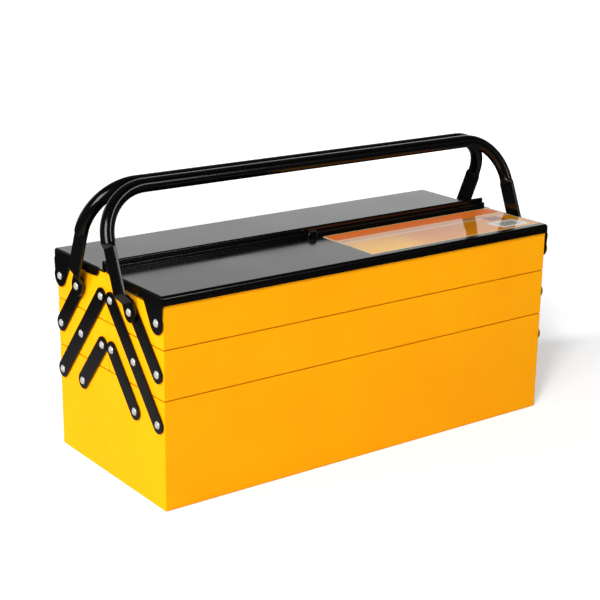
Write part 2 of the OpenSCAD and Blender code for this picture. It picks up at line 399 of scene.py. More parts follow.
class NodeSketch:
    """Short calls to add and link the nodes of one tree."""

    def __init__(self, tree: NodeTree) -> None:
        """Takes a tree to draw in.

        Args:
            tree: The tree, whose old nodes are cleared.
        """
        self.tree = tree
        tree.nodes.clear()

    def feed(self, socket: NodeSocket, value: object) -> None:
        """Links an output to a socket, or sets the socket's own value."""
        if isinstance(value, NodeSocket):
            self.tree.links.new(value, socket)
        else:
            socket.default_value = value

    def add(self, kind: str, inputs: dict | None = None, **settings: object) -> Node:
        """Adds a node.

        Args:
            kind: Its type name.
            inputs: What feeds its inputs, by name or number.
            **settings: Its own properties.

        Returns:
            The node.
        """
        node = self.tree.nodes.new(kind)
        for key, value in settings.items():
            setattr(node, key, value)
        for key, value in (inputs or {}).items():
            self.feed(node.inputs[key], value)
        return node

    def math(self, operation: str, *values: object, clamp: bool = False) -> NodeSocket:
        """Adds a Math node.

        Args:
            operation: Its operation.
            *values: Numbers or outputs for its inputs.
            clamp: Whether the result is kept within 0 and 1.

        Returns:
            Its output.
        """
        node = self.add("ShaderNodeMath", dict(enumerate(values)), operation=operation, use_clamp=clamp)
        return node.outputs[0]

    def times(self, *values: object) -> NodeSocket:
        """Multiplies numbers or outputs."""
        return reduce(lambda a, b: self.math("MULTIPLY", a, b), values)

    def plus(self, *values: object) -> NodeSocket:
        """Adds up numbers or outputs."""
        return reduce(lambda a, b: self.math("ADD", a, b), values)

    def minus(self, first: object, second: object) -> NodeSocket:
        """Takes the second number or output from the first."""
        return self.math("SUBTRACT", first, second)

    def mix(self, factor: object, first: object, second: object) -> NodeSocket:
        """Mixes two colours.

        Args:
            factor: Share of the second colour.
            first: The first colour.
            second: The second colour.

        Returns:
            The mixed colour's output.
        """
        node = self.add("ShaderNodeMix", {0: factor, 6: first, 7: second}, data_type="RGBA")
        return node.outputs[2]

    def map(self, value: object, ramp: Ramp) -> NodeSocket:
        """Maps a value from one range to another.

        Args:
            value: The value's output.
            ramp: The two ranges.

        Returns:
            The new value's output.
        """
        kind = "SMOOTHSTEP" if ramp.smooth else "LINEAR"
        ends = (value, ramp.low, ramp.high, ramp.start, ramp.end)
        return self.add("ShaderNodeMapRange", dict(enumerate(ends)), interpolation_type=kind).outputs[0]

    def place(self) -> NodeSocket:
        """Adds the place on the object, in metres."""
        return self.add("ShaderNodeTexCoord").outputs["Object"]

    def noise(self, place: object, scale: object, detail: float, rough: float = 0.5) -> NodeSocket:
        """Adds a noise, with the number and the strength of its finer layers."""
        inputs = {"Vector": place, "Scale": scale, "Detail": detail, "Roughness": rough}
        return self.add("ShaderNodeTexNoise", inputs).outputs[0]


def new_group(
    kind: str, name: str, inputs: dict[str, str], outputs: dict[str, str]
) -> tuple[NodeSketch, dict[str, NodeSocket]]:
    """Starts a node group.

    Args:
        kind: Its type.
        name: Its name.
        inputs: Socket types by name.
        outputs: Socket types by name.

    Returns:
        Its sketch, and the outputs of its input node by name.
    """
    tree = bpy.data.node_groups.new(name, kind)
    for way, named in (("INPUT", inputs), ("OUTPUT", outputs)):
        for socket, sort in named.items():
            tree.interface.new_socket(socket, in_out=way, socket_type=f"NodeSocket{sort}")
    draw = NodeSketch(tree)
    return draw, {socket.name: socket for socket in draw.add("NodeGroupInput").outputs}


class SharedEffects:
    """Shader node groups that several finishes use, each built once."""

    tone: ClassVar[Ramp] = Ramp(0.3, 0.7, smooth=False)
    patch_scale: ClassVar[float] = 22.0
    speck_limit: ClassVar[float] = 0.86
    speck_edge: ClassVar[float] = 14.0

    def __init__(self) -> None:
        """Builds the groups."""
        self.skin = self._skin()
        self.specks = self._specks()

    def _skin(self) -> ShaderNodeTree:
        """Builds the sprayed skin: fine ripple of the paint and slow change of its tone."""
        inputs, outputs = ("Ripple Scale", "Tone Scale"), ("Ripple", "Tone")
        draw, value = new_group(
            "ShaderNodeTree", "sprayed_skin", dict.fromkeys(inputs, "Float"), dict.fromkeys(outputs, "Float")
        )
        place = draw.place()
        fine = draw.noise(place, value["Ripple Scale"], detail=2.0, rough=0.45)
        broad = draw.noise(place, value["Tone Scale"], detail=3.0)
        draw.add("NodeGroupOutput", {"Ripple": fine, "Tone": draw.map(broad, self.tone)})
        return draw.tree

    def _specks(self) -> ShaderNodeTree:
        """Builds the specks: small sparse spots of dust and nicks."""
        inputs = {"Scale": "Float", "Amount": "Float"}
        draw, value = new_group("ShaderNodeTree", "fine_specks", inputs, {"Mask": "Float"})
        place = draw.place()
        dots = draw.noise(place, value["Scale"], detail=1.0, rough=0.4)
        patch = draw.noise(place, self.patch_scale, detail=2.0)
        limit = draw.minus(self.speck_limit, draw.times(value["Amount"], patch))
        mask = draw.math("MULTIPLY", draw.minus(dots, limit), self.speck_edge, clamp=True)
        draw.add("NodeGroupOutput", {"Mask": mask})
        return draw.tree


# ---- finishes ----


@dataclass(frozen=True)
class Surface:
    """Scales and strengths of a finish's skin. The ripple's depth is in millimetres."""

    roughness: Flat
    ripple_scale: float
    tone_scale: float
    ripple_depth: float
    bump: float
    plain: tuple[tuple[str, float], ...]


class Finish(ABC):
    """A finish whose skin has a ripple and a slow change of tone."""

    name: str
    surface: Surface

    @abstractmethod
    def looks(self, draw: NodeSketch, tone: NodeSocket, effects: SharedEffects) -> tuple[NodeSocket, object]:
        """Draws what the finish has of its own.

        Args:
            draw: The material's sketch.
            tone: The change of tone.
            effects: The shared groups.

        Returns:
            The colour's output, and what is added to the roughness.
        """

    def build(self, effects: SharedEffects) -> Material:
        """Builds the material.

        Args:
            effects: The shared groups.

        Returns:
            The material.
        """
        material = bpy.data.materials.new(self.name)
        material.use_nodes = True
        draw = NodeSketch(material.node_tree)
        surface = self.surface
        scales = {"Ripple Scale": surface.ripple_scale, "Tone Scale": surface.tone_scale}
        skin = draw.add("ShaderNodeGroup", scales, node_tree=effects.skin).outputs
        colour, rougher = self.looks(draw, skin["Tone"], effects)
        rough = draw.plus(draw.map(skin["Tone"], Ramp(0.0, 1.0, *surface.roughness, smooth=False)), rougher)
        heights = {"Strength": surface.bump, "Distance": surface.ripple_depth * MM, "Height": skin["Ripple"]}
        bump = draw.add("ShaderNodeBump", heights).outputs[0]
        inputs = {"Base Color": colour, "Roughness": rough, "Normal": bump} | dict(surface.plain)
        shader = draw.add("ShaderNodeBsdfPrincipled", inputs)
        draw.add("ShaderNodeOutputMaterial", {"Surface": shader.outputs[0]})
        return material


@dataclass(frozen=True)
class PaintFinish(Finish):
    """Sprayed paint or powder on sheet steel."""

    name: str
    light: Colour
    deep: Colour
    surface: Surface
    speck_amount: float
    speck_colour: Colour = (0.35, 0.33, 0.3, 1.0)
    speck_scale: float = 900.0
    speck_cover: float = 0.35
    speck_rough: float = 0.2

    def looks(self, draw: NodeSketch, tone: NodeSocket, effects: SharedEffects) -> tuple[NodeSocket, object]:
        """Mixes the two tones and sprinkles specks."""
        amounts = {"Scale": self.speck_scale, "Amount": self.speck_amount}
        specks = draw.add("ShaderNodeGroup", amounts, node_tree=effects.specks).outputs["Mask"]
        body = draw.mix(tone, self.light, self.deep)
        colour = draw.mix(draw.times(specks, self.speck_cover), body, self.speck_colour)
        return colour, draw.times(specks, self.speck_rough)


@dataclass(frozen=True)
class SteelFinish(Finish):
    """Bright zinc on the rivets, with fine turned marks and a duller bloom."""

    name: str = "zinc_steel"
    bright: Colour = (0.86, 0.85, 0.83, 1.0)
    dull: Colour = (0.62, 0.61, 0.6, 1.0)
    surface: Surface = Surface((0.28, 0.42), 1500.0, 260.0, 0.02, 0.25, (("Metallic", 0.55),))

    def looks(self, draw: NodeSketch, tone: NodeSocket, effects: SharedEffects) -> tuple[NodeSocket, object]:
        """Mixes the bright and the dull zinc."""
        return draw.mix(tone, self.bright, self.dull), 0.0


# directions on the label, the last of which leans a little from its length
ALONG, ACROSS, SLANT = range(3)
PALE: Colour = (0.62, 0.6, 0.56, 1.0)
BAND: Colour = (0.64, 0.125, 0.003, 1.0)


@dataclass(frozen=True)
class Print:
    """A printed block of the label. Its edges are shares of the label's length and width."""

    colour: Colour
    across: Flat
    slant: Flat | None = None
    cover: float = 1.0
    lines: tuple[int, float, float] | None = None


@dataclass(frozen=True)
class FilmFinish(Finish):
    """Glossy film with a plain print of bands and blocks, with no words on it.

    The golden glow fades along and across the label, and clouds add a little to it. The broad
    band is printed over the varnish, so it is duller.
    """

    low: Flat
    high: Flat
    name: str = "printed_film"
    ground: Colour = (0.56, 0.17, 0.006, 1.0)
    golden: Colour = (0.76, 0.37, 0.002, 1.0)
    margin_colour: Colour = (0.62, 0.5, 0.3, 1.0)
    margin: tuple[Flat, Flat] = ((0.006, 0.994), (0.016, 0.984))
    lean: float = 0.05
    cloud_scale: float = 14.0
    golden_along: Ramp = Ramp(0.1, 0.5, 1.0, 0.0)
    golden_across: Ramp = Ramp(0.3, 0.75, 1.0, 0.0)
    golden_clouds: Ramp = Ramp(0.4, 0.75, 0.0, 0.35)
    broad: Print = Print(BAND, (0.745, 0.975))
    broad_rough: float = 0.4
    under: tuple[Print, ...] = (
        Print(BAND, (0.2, 0.56), (0.16, 0.5), 0.4, (ACROSS, 95.0, 0.8)),
        Print(PALE, (0.56, 0.6), cover=0.5),
        Print((0.3, 0.22, 0.12, 1.0), (0.62, 0.7), cover=0.45),
    )
    over: tuple[Print, ...] = (
        Print(PALE, (0.07, 0.36), (0.8, 0.965)),
        Print((0.05, 0.04, 0.035, 1.0), (0.13, 0.3), (0.825, 0.94), lines=(ALONG, 380.0, 0.1)),
        Print((0.2, 0.008, 0.003, 1.0), (0.42, 0.6), (0.86, 0.95)),
    )
    surface: Surface = Surface((0.04, 0.08), 60.0, 30.0, 0.06, 0.3, (("Specular IOR Level", 0.29),))

    @staticmethod
    def _strip(draw: NodeSketch, axis: object, span: Flat) -> NodeSocket:
        """Mask of the strip between two places along an axis."""
        return draw.times(draw.math("GREATER_THAN", axis, span[0]), draw.math("LESS_THAN", axis, span[1]))

    def _mask(self, draw: NodeSketch, axes: Sequence[NodeSocket], block: Print) -> NodeSocket:
        """Mask of a printed block, from the directions on the label."""
        masks = [self._strip(draw, axes[ACROSS], block.across)]
        if block.slant:
            masks.append(self._strip(draw, axes[SLANT], block.slant))
        if block.lines:
            axis, waves, limit = block.lines
            masks.append(draw.math("GREATER_THAN", draw.math("SINE", draw.times(axes[axis], waves)), limit))
        return draw.times(*masks, block.cover)

    def looks(self, draw: NodeSketch, tone: NodeSocket, effects: SharedEffects) -> tuple[NodeSocket, object]:
        """Prints the blocks over the ground, which has a golden glow, and the margin over them."""
        place = draw.place()
        flat = draw.add("ShaderNodeSeparateXYZ", {0: place}).outputs
        spans = [Ramp(self.low[k] * MM, self.high[k] * MM, smooth=False) for k in (ALONG, ACROSS)]
        along, across = (draw.map(flat[k], span) for k, span in enumerate(spans))
        axes = (along, across, draw.plus(along, draw.times(across, self.lean)))
        gold = draw.times(draw.map(along, self.golden_along), draw.map(across, self.golden_across))
        clouds = draw.map(draw.noise(place, self.cloud_scale, detail=2.0), self.golden_clouds)
        colour = draw.mix(draw.math("ADD", gold, clouds, clamp=True), self.ground, self.golden)
        broad = self._mask(draw, axes, self.broad)
        for block in (*self.under, self.broad, *self.over):
            mask = broad if block is self.broad else self._mask(draw, axes, block)
            colour = draw.mix(mask, colour, block.colour)
        inside = draw.times(*(self._strip(draw, axis, span) for axis, span in zip(axes, self.margin)))
        colour = draw.mix(draw.minus(1.0, inside), colour, self.margin_colour)
        return colour, draw.times(broad, self.broad_rough)


@dataclass(frozen=True)
class Finishes:
    """The materials of the box, by slot."""

    yellow: Material
    black: Material
    steel: Material
    film: Material

    @classmethod
    def build(cls, label: tuple[Flat, Flat]) -> "Finishes":
        """Builds every finish.

        Args:
            label: The label's low and high corners in X and Y, in millimetres.

        Returns:
            The finishes.
        """
        effects = SharedEffects()
        yellow = PaintFinish(
            "yellow_paint",
            light=(1.0, 0.41, 0.0, 1.0),
            deep=(1.0, 0.375, 0.0, 1.0),
            surface=Surface((0.32, 0.42), 420.0, 9.0, 0.03, 0.6, (("Specular IOR Level", 0.06),)),
            speck_amount=0.22,
        )
        black = PaintFinish(
            "black_powder_coat",
            light=(0.0022, 0.0019, 0.0017, 1.0),
            deep=(0.0012, 0.001, 0.0009, 1.0),
            surface=Surface((0.13, 0.2), 620.0, 9.0, 0.02, 0.6, (("Specular IOR Level", 0.5),)),
            speck_amount=0.2,
            speck_colour=(0.06, 0.055, 0.05, 1.0),
        )
        finishes = (yellow, black, SteelFinish(), FilmFinish(*label))
        return cls(*(finish.build(effects) for finish in finishes))


def dress(piece: Object, body: str, slot: Slot, *nodes: str) -> None:
    """Puts a finished piece on its body in place of CAD nodes.

    Args:
        piece: The piece.
        body: The body that it rides on.
        slot: Its material slot; not used.
        *nodes: The nodes that it stands for.
    """
    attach(piece, body)
    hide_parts(*nodes)
    LOG.info("%s: %d faces on %s", piece.name, len(piece.data.polygons), body)


@dataclass
class MeshPiece(ABC):
    """A piece that stands for one CAD node and is made as a mesh in one go."""

    node: str
    body: str
    kind: ClassVar[str]
    slot: ClassVar[Slot] = Slot.BLACK
    crease: ClassVar[float] = 32.0

    @abstractmethod
    def shape(self) -> MeshWork:
        """The piece's vertices and faces."""

    def build(self, material: Material) -> Object:
        """Builds the piece.

        Args:
            material: Its finish.

        Returns:
            The finished piece.
        """
        piece = self.shape().piece(f"{self.node}_{self.kind}", material, self.crease)
        dress(piece, self.body, self.slot, self.node)
        return piece


# ---- sheet boxes ----


@dataclass
class SheetBox(MeshPiece):
    """An open box of painted sheet with rounded folds, soft corners and folded rims."""

    low: Vector
    high: Vector
    inner_rim: float
    inner_side: int = 0
    sheet: float = TRAY_SHEET
    fold: float = 2.0
    hem: float = 7.0
    hem_edge: float = 0.2
    corner: float = 1.7
    least_corner: float = 0.3
    corner_steps: int = 5
    fold_steps: int = 6
    rim_steps: int = 8
    inside_steps: int = 4
    inner_band: float = 2.6
    inner_stop: float = 3.2
    rim_band: float = 1.0
    kind = "sheet"
    slot = Slot.YELLOW
    crease = 40.0

    def _loop(self, depth: float, z: float) -> list[Spot]:
        """One level loop of the box's skin, some distance inside the outer walls."""
        x0, x1 = self.low.x + depth, self.high.x - depth
        y0, y1 = self.low.y + depth, self.high.y - depth
        stops = (self.low.y + self.inner_stop, self.high.y - self.inner_stop)
        loop = rounded((x0, y0), (x1, y1), max(self.corner - depth, self.least_corner), self.corner_steps)
        middle = len(loop) // 2
        left, right = [(x0, y) for y in reversed(stops)], [(x1, y) for y in stops]
        return [(x, y, z) for x, y in loop[:middle] + left + loop[middle:] + right]

    def _profile(self) -> list[Flat]:
        """Depth and height of each loop, from under the floor, over the rim, to the floor inside."""
        t, f = self.sheet, self.fold
        z0, z1 = self.low.z, self.high.z
        outside = [(f - f * sin(a), z0 + f - f * cos(a)) for a in turns(QUARTER, self.fold_steps)]
        rim = [(t - t * cos(a), z1 - t + t * sin(a)) for a in turns(pi, self.rim_steps)]
        hem = [(2 * t, z1 - self.hem), (t, z1 - self.hem - self.hem_edge)]
        r = f - t
        inside = [(t + r - r * cos(a), z0 + f - r * sin(a)) for a in turns(QUARTER, self.inside_steps)]
        return outside + rim + hem + inside

    def _lift(self, point: Spot) -> Spot:
        """Raises the rim of the taller inner wall."""
        x, y, z = point
        inner = self.low.y if self.inner_side > 0 else self.high.y
        if self.inner_side and abs(y - inner) < self.inner_band and z > self.high.z - self.rim_band:
            z += self.inner_rim - self.high.z
        return x, y, z

    def shape(self) -> MeshWork:
        """The box's skin."""
        work = MeshWork()
        loops = [self._loop(depth, z) for depth, z in self._profile()]
        work.skin([work.ring([self._lift(point) for point in loop]) for loop in loops])
        return work


# ---- straps ----


@dataclass
class Strap(MeshPiece):
    """A flat steel strap with round ends and softened edges."""

    half: Half
    end: End
    pins: Outline
    layout: Layout
    hole: float = PIN_HOLE
    hole_points: int = 48
    edge: float = 0.55
    end_steps: int = 20
    kind = "strap"

    def _outline(self) -> list[Flat]:
        """The strap's outline from its first pin to its last."""
        first, last = Vector(self.pins[0]), Vector(self.pins[-1])
        angle = degrees(atan2(last.y - first.y, last.x - first.x))
        radius = self.layout.strap_w / 2
        far = arc(tuple(last), radius, angle - 90, angle + 90, self.end_steps)
        near = arc(tuple(first), radius, angle + 90, angle + 270, self.end_steps)
        return far + near

    def shape(self) -> MeshWork:
        """The strap, at its own half and end."""
        work = MeshWork()
        holes = [circle(pin, self.hole / 2, self.hole_points) for pin in self.pins]
        plate(work, self._outline(), holes, (self.layout.strap_x, self.layout.strap_out_x), self.edge)
        work.place(Matrix.Diagonal((self.end.value, self.half.value, 1, 1)))
        return work


# ---- rivets ----


@dataclass(frozen=True)
class RivetPin:
    """Where one rivet goes: its end, its place on the end wall, and the face under its head."""

    end: End
    y: float
    z: float
    x_face: float


@dataclass
class RivetTree:
    """Geometry nodes that set a domed rivet, with shank and formed tail, on every point.

    The grid of a head goes on past the rim by a share of the dome's, and that underside closes
    towards the shank. The shank is a little longer than the grip. The tilt is in radians.
    """

    head_d: float = 8.5
    head_h: float = 2.2
    shank_d: float = 3.8
    tail_d: float = 8.0
    tail_h: float = 1.5
    head_gap: float = 0.1
    shank_more: float = 0.2
    underside: float = 0.25
    closing: float = 2.4
    tilt: float = 0.012
    barrel_sides: int = 28
    head_grid: tuple[int, int] = (41, 16)
    merge_m: float = 1e-6
    crease: float = 38.0
    seed: int = 7
    tree: GeometryNodeTree = field(init=False)

    def __post_init__(self) -> None:
        """Builds the tree."""
        kinds = {"Points": "Geometry", "Grip": "Float", "Steel": "Material"}
        draw, value = new_group("GeometryNodeTree", "rivet_row", kinds, {"Rivets": "Geometry"})
        self.tree = draw.tree
        grip, tail_h = value["Grip"], self.tail_h * MM
        length, middle = draw.plus(grip, self.shank_more * MM), draw.times(grip, -0.5)
        shank = self._barrel(draw, self.shank_d * MM, length, middle)
        under = draw.plus(grip, draw.times(tail_h, 0.5))
        tail = self._barrel(draw, self.tail_d * MM, tail_h, draw.times(under, -1.0))
        whole = draw.add("GeometryNodeJoinGeometry")
        for part in (self._head(draw), shank, tail):
            draw.feed(whole.inputs[0], part)
        side = draw.add("GeometryNodeInputNamedAttribute", {0: "side"}, data_type="FLOAT").outputs[0]
        lean = [self._random(draw, self.seed + number) for number in (1, 2)]
        away = draw.plus(draw.times(side, QUARTER), lean[1])
        turn = draw.add("ShaderNodeCombineXYZ", {0: lean[0], 1: away})
        rows = {"Points": value["Points"], "Instance": whole.outputs[0], "Rotation": turn.outputs[0]}
        placed = draw.add("GeometryNodeInstanceOnPoints", rows)
        real = draw.add("GeometryNodeRealizeInstances", {0: placed.outputs[0]})
        steel = draw.add("GeometryNodeSetMaterial", {"Geometry": real.outputs[0], "Material": value["Steel"]})
        draw.add("NodeGroupOutput", {0: steel.outputs[0]})

    def _random(self, draw: NodeSketch, seed: int) -> NodeSocket:
        """A small fixed random angle for each point."""
        node = draw.add("FunctionNodeRandomValue", {}, data_type="FLOAT")
        free = [socket for socket in node.inputs if socket.enabled]
        for socket, value in ((free[0], -self.tilt), (free[1], self.tilt), (free[-1], seed)):
            draw.feed(socket, value)
        return next(socket for socket in node.outputs if socket.enabled)

    def _barrel(self, draw: NodeSketch, diameter: object, depth: object, z: object) -> NodeSocket:
        """A plain round length of the rivet, with its middle at some height."""
        sizes = {"Vertices": self.barrel_sides, "Radius": draw.times(diameter, 0.5), "Depth": depth}
        barrel = draw.add("GeometryNodeMeshCylinder", sizes).outputs[0]
        lift = draw.add("ShaderNodeCombineXYZ", {2: z}).outputs[0]
        return draw.add("GeometryNodeTransform", {"Geometry": barrel, "Translation": lift}).outputs[0]

    def _head(self, draw: NodeSketch) -> NodeSocket:
        """The domed head, turned from a grid: around it along X, from its top to under its rim along Y."""
        radius, height = draw.times(self.head_d * MM, 0.5), self.head_h * MM
        square = draw.plus(draw.times(radius, radius), draw.times(height, height))
        ball = draw.math("DIVIDE", square, draw.times(height, 2.0))
        widest = draw.math("ARCSINE", draw.math("DIVIDE", radius, ball))
        columns, rows = self.head_grid
        sizes = {"Size X": 1.0, "Size Y": 1.0, "Vertices X": columns, "Vertices Y": rows}
        grid = draw.add("GeometryNodeMeshGrid", sizes).outputs[0]
        flat = draw.add("GeometryNodeInputPosition").outputs[0]
        place = draw.add("ShaderNodeSeparateXYZ", {0: flat}).outputs
        around = draw.times(draw.plus(place[0], 0.5), WHOLE)
        down = draw.times(draw.plus(place[1], 0.5), 1.0 + self.underside)
        fall = draw.times(draw.math("MINIMUM", down, 1.0), widest)
        closing = draw.times(draw.math("MAXIMUM", draw.minus(down, 1.0), 0.0), self.closing)
        reach = draw.times(ball, draw.math("SINE", fall), draw.minus(1.0, closing))
        rise = draw.minus(draw.times(ball, draw.math("COSINE", fall)), draw.minus(ball, height))
        x, y = (draw.times(reach, draw.math(wave, around)) for wave in ("COSINE", "SINE"))
        spot = draw.add("ShaderNodeCombineXYZ", {0: x, 1: y, 2: rise}).outputs[0]
        turned = draw.add("GeometryNodeSetPosition", {"Geometry": grid, "Position": spot}).outputs[0]
        merged = draw.add("GeometryNodeMergeByDistance", {"Geometry": turned, "Distance": self.merge_m})
        return merged.outputs[0]

    def build(self, name: str, pins: Sequence[RivetPin], inside_x: float, steel: Material) -> Object:
        """Sets a group of rivets that move together.

        Args:
            name: The new piece's name.
            pins: Where the rivets go.
            inside_x: X of the end wall's inner face.
            steel: Their finish.

        Returns:
            One plain mesh with all of them.
        """
        mesh = bpy.data.meshes.new(name)
        spots = [(pin.end.value * (pin.x_face + self.head_gap) * MM, pin.y * MM, pin.z * MM) for pin in pins]
        mesh.from_pydata(spots, [], [])
        side = mesh.attributes.new("side", "FLOAT", "POINT")
        side.data.foreach_set("value", [float(pin.end.value) for pin in pins])
        piece = put(name, mesh)
        rows = modify(piece, "rivets", "NODES", node_group=self.tree)
        values = {"Grip": (pins[0].x_face + self.head_gap - inside_x) * MM, "Steel": steel}
        for item in self.tree.interface.items_tree:
            if item.name in values:
                rows[item.identifier] = values[item.name]
        bake(piece)
        work = bmesh.new()
        work.from_mesh(piece.data)
        bmesh.ops.recalc_face_normals(work, faces=work.faces)
        work.to_mesh(piece.data)
        work.free()
        left_over = piece.data.attributes.get("side")
        if left_over is not None:
            piece.data.attributes.remove(left_over)
        return shade(piece, self.crease)


# ---- lids ----


@dataclass
class Lid:
    """A lid of folded sheet: panel, skirt, end flanges with ears, and a folded edge at the centre.

    An ear runs from its root on the skirt's lower edge round the lid's pin.
    """

    half: Half
    layout: Layout
    edge_w: float
    edge_h: float
    sheet: float = LID_SHEET
    skirt: float = 10.0
    flange_start: float = 14.0
    flange_r: float = 7.0
    ear_root: float = 24.5
    ear_end: float = 25.0
    flange_steps: int = 8
    ear_steps: int = 24
    hole: float = PIN_HOLE
    hole_points: int = 24
    fold: float = 3.8
    end_fold: float = 2.4
    root_fold: float = 0.9
    lip_share: float = 0.46
    relief: Flat = (1.4, 2.4)
    cut_edge: float = 0.22
    cut_angle: float = 62.0
    crease: float = 40.0

    def _ear(self) -> tuple[list[Flat], list[Flat]]:
        """Outline of an end flange with its ear, and of the pin's hole, in Y and Z."""
        lay = self.layout
        top, low = lay.lid_top, lay.lid_top - self.skirt
        pin = Vector((lay.pins_y[2], lay.pins_z[2]))
        radius = lay.lid_edge - pin.x
        root = Vector((pin.x - self.ear_root, low))
        to_pin = pin - root
        slope = atan2(to_pin.y, to_pin.x) - asin(radius / to_pin.length)
        start = degrees(slope) - 90
        bend = self.flange_r
        corner = arc((self.flange_start + bend, low + bend), bend, 180, 270, self.flange_steps)
        ear = arc(tuple(pin), radius, start + 360 if start < -180 else start, self.ear_end, self.ear_steps)
        rest = [(lay.lid_edge, low), (lay.lid_edge, top)]
        outline = [(self.flange_start, top), *corner, tuple(root), *ear, *rest]
        return outline, circle(tuple(pin), self.hole / 2, self.hole_points)

    def _shell(self) -> bmesh.types.BMesh:
        """The sheet's outer faces in metres, with the radius of each fold as a weight of its edge."""
        lay = self.layout
        top, low, edge, end = lay.lid_top, lay.lid_top - self.skirt, lay.lid_edge, lay.lid_end
        start, inner = self.flange_start, lay.inner_y
        wall, rise, under = inner + self.edge_w, top + self.edge_h, lay.lid_under
        slot_w, slot_d = self.relief
        work = bmesh.new()
        weight = work.edges.layers.float.new("bevel_weight_edge")
        known: dict[Spot, bmesh.types.BMVert] = {}

        def spot(x: float, y: float, z: float) -> bmesh.types.BMVert:
            """The vertex at a place, shared by the faces that meet there."""
            key = (round(x, 4), round(y, 4), round(z, 4))
            if key not in known:
                known[key] = work.verts.new(Vector((x, y, z)) * MM)
            return known[key]

        def fold(a: Spot, b: Spot, radius: float) -> None:
            """Marks the edge between two places as a fold of some radius."""
            bent = work.edges.get((spot(*a), spot(*b)))
            if bent is not None:
                bent[weight] = radius / self.fold

        cut = end - slot_d
        notch = [(end, start), (cut, start), (cut, start - slot_w), (end, start - slot_w), (end, wall)]
        ring = [(end, edge), (-end, edge), *[(-x, y) for x, y in notch], *reversed(notch)]
        bands = (
            [(x, y, top) for x, y in ring],
            [(x, edge, z) for x, z in ((end, top), (end, low), (-end, low), (-end, top))],
            [(x, wall, z) for x, z in ((end, top), (-end, top), (-end, rise), (end, rise))],
            [(x, y, rise) for x, y in ((end, wall), (-end, wall), (-end, inner), (end, inner))],
            [(x, inner, z) for x, z in ((end, rise), (-end, rise), (-end, under), (end, under))],
        )
        for band in bands:
            work.faces.new([spot(*place) for place in band])
        outline, hole = self._ear()
        loops = [[Vector((y, z, 0)) for y, z in loop] for loop in (outline, hole)]
        flat = outline + hole
        for x in (end, -end):
            for triangle in tessellate_polygon(loops):
                work.faces.new([spot(x, *flat[k]) for k in triangle])
            fold((x, start, top), (x, edge, top), self.end_fold)
            fold((x, edge, top), (x, edge, low), self.end_fold)
        lip = min(self.fold, self.edge_w * self.lip_share)
        along = (edge, top, self.fold), (wall, rise, lip), (inner, rise, lip), (wall, top, self.root_fold)
        for y, z, radius in along:
            fold((end, y, z), (-end, y, z), radius)
        bmesh.ops.recalc_face_normals(work, faces=work.faces)
        level = (f for f in work.faces if abs(f.normal.z) > 0.9)
        if next(f for f in level if f.calc_center_median().z < (top + 1) * MM).normal.z < 0:
            bmesh.ops.reverse_faces(work, faces=work.faces)
        if self.half is Half.FRONT:
            bmesh.ops.transform(work, matrix=Matrix.Diagonal((1, -1, 1, 1)), verts=work.verts)
            bmesh.ops.reverse_faces(work, faces=work.faces)
        return work

    def build(self, material: Material) -> Object:
        """Builds the lid.

        Args:
            material: Its paint.

        Returns:
            The finished piece.
        """
        node = f"{self.half.word}_lid"
        mesh = bpy.data.meshes.new(f"{node}_sheet")
        work = self._shell()
        work.to_mesh(mesh)
        work.free()
        mesh.materials.append(material)
        piece = put(mesh.name, mesh)
        bend = {"limit_method": "WEIGHT", "width": self.fold * MM, "segments": 6, "use_clamp_overlap": True}
        modify(piece, "folds", "BEVEL", **bend)
        modify(piece, "sheet", "SOLIDIFY", thickness=self.sheet * MM, offset=-1.0, use_even_offset=True)
        soften = {"limit_method": "ANGLE", "angle_limit": radians(self.cut_angle)}
        modify(piece, "cut_edges", "BEVEL", **soften, width=self.cut_edge * MM, segments=2)
        shade(piece, self.crease)
        dress(piece, node, Slot.BLACK, node)
        return piece


# ---- handles ----


